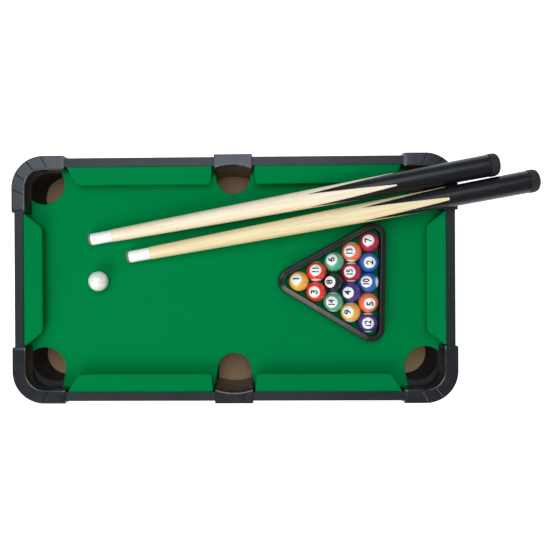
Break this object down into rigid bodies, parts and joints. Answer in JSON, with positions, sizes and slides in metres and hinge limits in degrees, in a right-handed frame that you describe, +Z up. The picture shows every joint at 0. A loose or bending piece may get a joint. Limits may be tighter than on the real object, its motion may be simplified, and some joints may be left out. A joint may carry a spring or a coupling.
{
  "type": "mini pool table",
  "caption": "Tabletop pool table with pockets, cloth-covered cushions, triangle rack, numbered balls, cue ball and short cues laid on it.",
  "frame": {"origin": "on the surface that the feet stand on, below the middle of the whole set's box", "axes": "+X along the table towards the racked balls and the cue butts, +Y towards the back, +Z up"},
  "size_m": [0.5912, 0.285, 0.1182],
  "materials": {
    "black_laminate": "satin black laminate on fibreboard, light fine grain",
    "black_plastic": "satin moulded plastic",
    "rack_plastic": "satin moulded plastic",
    "dark_liner": "dull black sheet",
    "hardboard": "plain brown hardboard",
    "fibreboard": "raw fibreboard",
    "green_cloth": "short-napped green felt",
    "black_rubber": "matt rubber",
    "steel_screw": "zinc-plated",
    "cue_wood": "lacquered pale wood with a black spliced butt",
    "white_ferrule": "gloss white",
    "leather_tip": "pinkish brown leather, matt",
    "ball_ivory": "polished",
    "ball_yellow": "polished, white number disc",
    "ball_blue": "polished, white number disc",
    "ball_red": "polished, white number disc",
    "ball_purple": "polished, white number disc",
    "ball_orange": "polished, white number disc",
    "ball_green": "polished, white number disc",
    "ball_maroon": "polished, white number disc",
    "ball_black": "polished, white number disc"
  },
  "bodies": {
    "table": {"bottom_board": "hardboard", "playfield_board": "fibreboard", "playfield_cloth": "green_cloth", "apron_front": "black_laminate", "apron_back": "black_laminate", "apron_left": "black_laminate", "apron_right": "black_laminate", "bed_bearer_left": "fibreboard", "bed_bearer_right": "fibreboard", "corner_cap_front_left": "black_plastic", "corner_cap_front_right": "black_plastic", "corner_cap_back_left": "black_plastic", "corner_cap_back_right": "black_plastic", "middle_cap_front": "black_plastic", "middle_cap_back": "black_plastic", "corner_liner_front_left": "dark_liner", "corner_liner_front_right": "dark_liner", "corner_liner_back_left": "dark_liner", "corner_liner_back_right": "dark_liner", "middle_liner_front": "dark_liner", "middle_liner_back": "dark_liner", "cushion_front_left": "green_cloth", "cushion_front_right": "green_cloth", "cushion_back_left": "green_cloth", "cushion_back_right": "green_cloth", "cushion_left": "green_cloth", "cushion_right": "green_cloth", "foot_front_left": "black_rubber", "foot_front_right": "black_rubber", "foot_back_left": "black_rubber", "foot_back_right": "black_rubber", "foot_screw_front_left": "steel_screw", "foot_screw_front_right": "steel_screw", "foot_screw_back_left": "steel_screw", "foot_screw_back_right": "steel_screw"},
    "ball_01": {"ball_01": "ball_yellow"},
    "ball_02": {"ball_02": "ball_blue"},
    "ball_03": {"ball_03": "ball_red"},
    "ball_04": {"ball_04": "ball_purple"},
    "ball_05": {"ball_05": "ball_orange"},
    "ball_06": {"ball_06": "ball_green"},
    "ball_07": {"ball_07": "ball_maroon"},
    "ball_08": {"ball_08": "ball_black"},
    "ball_09": {"ball_09": "ball_yellow"},
    "ball_10": {"ball_10": "ball_blue"},
    "ball_11": {"ball_11": "ball_red"},
    "ball_12": {"ball_12": "ball_purple"},
    "ball_13": {"ball_13": "ball_orange"},
    "ball_14": {"ball_14": "ball_green"},
    "ball_15": {"ball_15": "ball_maroon"},
    "cue_ball": {"cue_ball": "ball_ivory"},
    "rack": {"rack": "rack_plastic"},
    "cue_1": {"cue_1_stick": "cue_wood", "cue_1_ferrule": "white_ferrule", "cue_1_tip": "leather_tip", "cue_1_bumper": "black_rubber"},
    "cue_2": {"cue_2_stick": "cue_wood", "cue_2_ferrule": "white_ferrule", "cue_2_tip": "leather_tip", "cue_2_bumper": "black_rubber"}
  },
  "joints": [
    {"name": "cue_ball_roll", "type": "slide", "parent": "table", "child": "cue_ball", "axis": [1, 0, 0], "range_m": [0, 0.19]},
    {"name": "ball_01_lift", "type": "slide", "parent": "table", "child": "ball_01", "axis": [0, 0, 1], "range_m": [0, 0.06]},
    {"name": "ball_02_lift", "type": "slide", "parent": "table", "child": "ball_02", "axis": [0, 0, 1], "range_m": [0, 0.06]},
    {"name": "ball_03_lift", "type": "slide", "parent": "table", "child": "ball_03", "axis": [0, 0, 1], "range_m": [0, 0.06]},
    {"name": "ball_04_lift", "type": "slide", "parent": "table", "child": "ball_04", "axis": [0, 0, 1], "range_m": [0, 0.06]},
    {"name": "ball_05_lift", "type": "slide", "parent": "table", "child": "ball_05", "axis": [0, 0, 1], "range_m": [0, 0.06]},
    {"name": "ball_06_lift", "type": "slide", "parent": "table", "child": "ball_06", "axis": [0, 0, 1], "range_m": [0, 0.06]},
    {"name": "ball_07_lift", "type": "slide", "parent": "table", "child": "ball_07", "axis": [0, 0, 1], "range_m": [0, 0.06]},
    {"name": "ball_08_lift", "type": "slide", "parent": "table", "child": "ball_08", "axis": [0, 0, 1], "range_m": [0, 0.06]},
    {"name": "ball_09_lift", "type": "slide", "parent": "table", "child": "ball_09", "axis": [0, 0, 1], "range_m": [0, 0.06]},
    {"name": "ball_10_lift", "type": "slide", "parent": "table", "child": "ball_10", "axis": [0, 0, 1], "range_m": [0, 0.06]},
    {"name": "ball_11_lift", "type": "slide", "parent": "table", "child": "ball_11", "axis": [0, 0, 1], "range_m": [0, 0.06]},
    {"name": "ball_12_lift", "type": "slide", "parent": "table", "child": "ball_12", "axis": [0, 0, 1], "range_m": [0, 0.06]},
    {"name": "ball_13_lift", "type": "slide", "parent": "table", "child": "ball_13", "axis": [0, 0, 1], "range_m": [0, 0.06]},
    {"name": "ball_14_lift", "type": "slide", "parent": "table", "child": "ball_14", "axis": [0, 0, 1], "range_m": [0, 0.06]},
    {"name": "ball_15_lift", "type": "slide", "parent": "table", "child": "ball_15", "axis": [0, 0, 1], "range_m": [0, 0.06]},
    {"name": "rack_lift", "type": "slide", "parent": "table", "child": "rack", "axis": [0, 0, 1], "range_m": [0, 0.06]},
    {"name": "cue_1_lift", "type": "slide", "parent": "table", "child": "cue_1", "axis": [0, 0, 1], "range_m": [0, 0.06]},
    {"name": "cue_2_lift", "type": "slide", "parent": "table", "child": "cue_2", "axis": [0, 0, 1], "range_m": [0, 0.06]}
  ]
}
